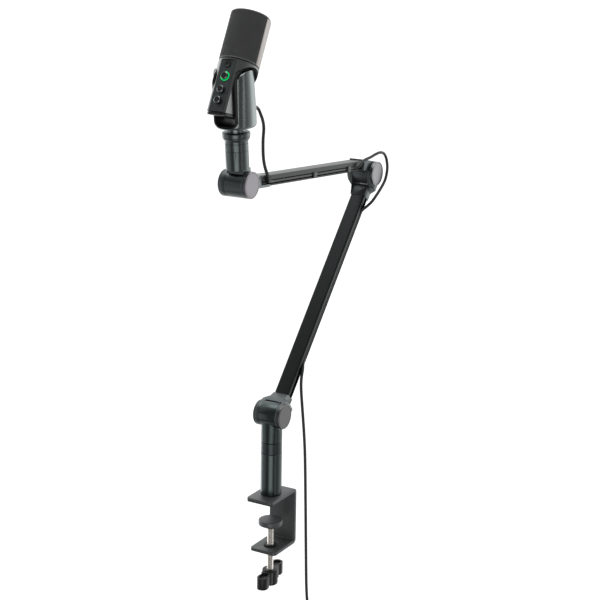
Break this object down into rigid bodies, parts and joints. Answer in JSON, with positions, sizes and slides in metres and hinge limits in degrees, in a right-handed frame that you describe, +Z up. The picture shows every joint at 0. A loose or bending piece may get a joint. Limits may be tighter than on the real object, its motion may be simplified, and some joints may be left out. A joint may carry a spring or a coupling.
{
  "type": "desk-mounted condenser microphone",
  "caption": "Slim USB condenser microphone tilting in an arched yoke on a self-locking folding desk arm, with a screw desk clamp and its cable run in the arm's slots.",
  "frame": {"origin": "centre of the desk contact face of the clamp's top jaw, under the column's axis", "axes": "+Z up along the column, +X toward the elbow of the arm as posed in the rest pose, the arm folding in the XZ plane, -Y toward the side with the cable slots"},
  "size_m": [0.3835, 0.081, 0.8236],
  "materials": {
    "anthracite_metal": "satin anthracite coating on aluminium, slightly metallic",
    "satin_metal": "satin grey metal disc with a faint turned grain",
    "steel": "plain turned steel",
    "black_plastic": "moulded black plastic, satin",
    "rubber": "matte black rubber",
    "mesh_black": "fine woven wire mesh, matte anthracite",
    "cable_sheath": "smooth flexible black sheath",
    "light_guide": "translucent light guide, lit green",
    "board_green": "green circuit board",
    "gold_film": "gold film on the capsule"
  },
  "bodies": {
    "base": {"clamp_bracket": "anthracite_metal", "jaw_rubber": "rubber", "column_bolt": "steel", "screw_bush": "steel", "column_base": "anthracite_metal", "column_ring": "anthracite_metal", "swivel_spindle": "steel", "cable_tail": "cable_sheath", "cable_coil": "cable_sheath", "usb_plug": "black_plastic"},
    "clamp_pad_body": {"clamp_pad": "anthracite_metal"},
    "clamp_screw_body": {"clamp_screw": "steel", "clamp_handle": "black_plastic"},
    "turret": {"shoulder_turret": "anthracite_metal"},
    "lower_arm": {"lower_arm_tube": "anthracite_metal", "lower_arm_foot": "black_plastic", "lower_arm_head": "black_plastic", "shoulder_pin": "steel", "shoulder_washer": "steel", "shoulder_cap_near": "satin_metal", "shoulder_cap_far": "anthracite_metal", "elbow_pin": "steel", "elbow_washer": "steel", "elbow_cap_near": "satin_metal", "elbow_cap_far": "anthracite_metal", "cable_lower_run": "cable_sheath"},
    "upper_arm": {"upper_arm_tube": "anthracite_metal", "upper_arm_knuckle": "black_plastic", "upper_arm_fork": "black_plastic", "cable_clip_1": "black_plastic", "cable_clip_2": "black_plastic", "wrist_pin": "steel", "wrist_washer": "steel", "wrist_cap_near": "satin_metal", "wrist_cap_far": "anthracite_metal", "cable_upper_run": "cable_sheath", "cable_elbow_loop": "cable_sheath", "cable_drop": "cable_sheath"},
    "post": {"wrist_post": "anthracite_metal", "post_collar": "anthracite_metal", "swivel_stud": "steel"},
    "yoke_body": {"yoke": "anthracite_metal", "yoke_liner": "rubber", "pivot_pin_near": "steel", "pivot_pin_far": "steel"},
    "microphone": {"mic_body": "anthracite_metal", "bottom_cap": "black_plastic", "usb_socket": "steel", "circuit_board": "board_green", "control_panel": "anthracite_metal", "gain_light_ring": "light_guide", "head_base": "black_plastic", "capsule": "gold_film", "grille": "mesh_black", "head_back_shell": "anthracite_metal", "mic_plug": "black_plastic"},
    "mute": {"mute_button": "black_plastic"},
    "gain": {"gain_knob": "black_plastic"},
    "mix": {"mix_knob": "black_plastic"},
    "volume": {"volume_knob": "black_plastic"}
  },
  "joints": [
    {"name": "base_swivel", "type": "hinge", "parent": "base", "child": "turret", "pos_m": [0, 0, 0.075], "axis": [0, 0, 1], "range_deg": [-170, 170], "deforming": ["cable_tail"]},
    {"name": "shoulder_tilt", "type": "hinge", "parent": "turret", "child": "lower_arm", "pos_m": [0, 0, 0.11], "axis": [0, 1, 0], "range_deg": [-125, 55], "deforming": ["cable_tail"]},
    {"name": "elbow_tilt", "type": "hinge", "parent": "lower_arm", "child": "upper_arm", "pos_m": [0.23221, 0, 0.37997], "axis": [0, 1, 0], "range_deg": [-43, 125], "deforming": ["cable_elbow_loop"]},
    {"name": "wrist_tilt", "type": "hinge", "parent": "upper_arm", "child": "post", "pos_m": [-0.08081, 0, 0.41144], "axis": [0, -1, 0], "range_deg": [-22, 135], "deforming": ["cable_drop"]},
    {"name": "mic_swivel", "type": "hinge", "parent": "post", "child": "yoke_body", "pos_m": [-0.08603, 0, 0.47251], "axis": [-0.0851, 0, 0.9964], "range_deg": [-90, 90], "deforming": ["cable_drop"]},
    {"name": "mic_tilt", "type": "hinge", "parent": "yoke_body", "child": "microphone", "pos_m": [-0.09175, 0, 0.52431], "axis": [0, 1, 0], "range_deg": [-26, 18], "deforming": ["cable_drop"]},
    {"name": "mute_press", "type": "slide", "parent": "microphone", "child": "mute", "axis": [0.8934, 0, -0.4493], "range_m": [0, 0.0006], "stiffness_N_per_m": 900},
    {"name": "gain_turn", "type": "hinge", "parent": "microphone", "child": "gain", "pos_m": [-0.10966, 0, 0.53679], "axis": [-0.8934, 0, 0.4493], "range_deg": [-150, 150]},
    {"name": "mix_turn", "type": "hinge", "parent": "microphone", "child": "mix", "pos_m": [-0.11689, 0, 0.52241], "axis": [-0.8934, 0, 0.4493], "range_deg": [-150, 150]},
    {"name": "volume_turn", "type": "hinge", "parent": "microphone", "child": "volume", "pos_m": [-0.12264, 0, 0.51097], "axis": [-0.8934, 0, 0.4493], "range_deg": [-150, 150]},
    {"name": "clamp_travel", "type": "slide", "parent": "base", "child": "clamp_pad_body", "axis": [0, 0, 1], "range_m": [-0.022, 0.026]},
    {"name": "clamp_turn", "type": "hinge", "parent": "clamp_pad_body", "child": "clamp_screw_body", "pos_m": [0, 0, -0.036], "axis": [0, 0, 1], "range_deg": [-6400, 7600]}
  ],
  "couplings": [
    {"joint": "clamp_turn", "follows": "clamp_travel", "rad_per_m": 5026.5}
  ]
}
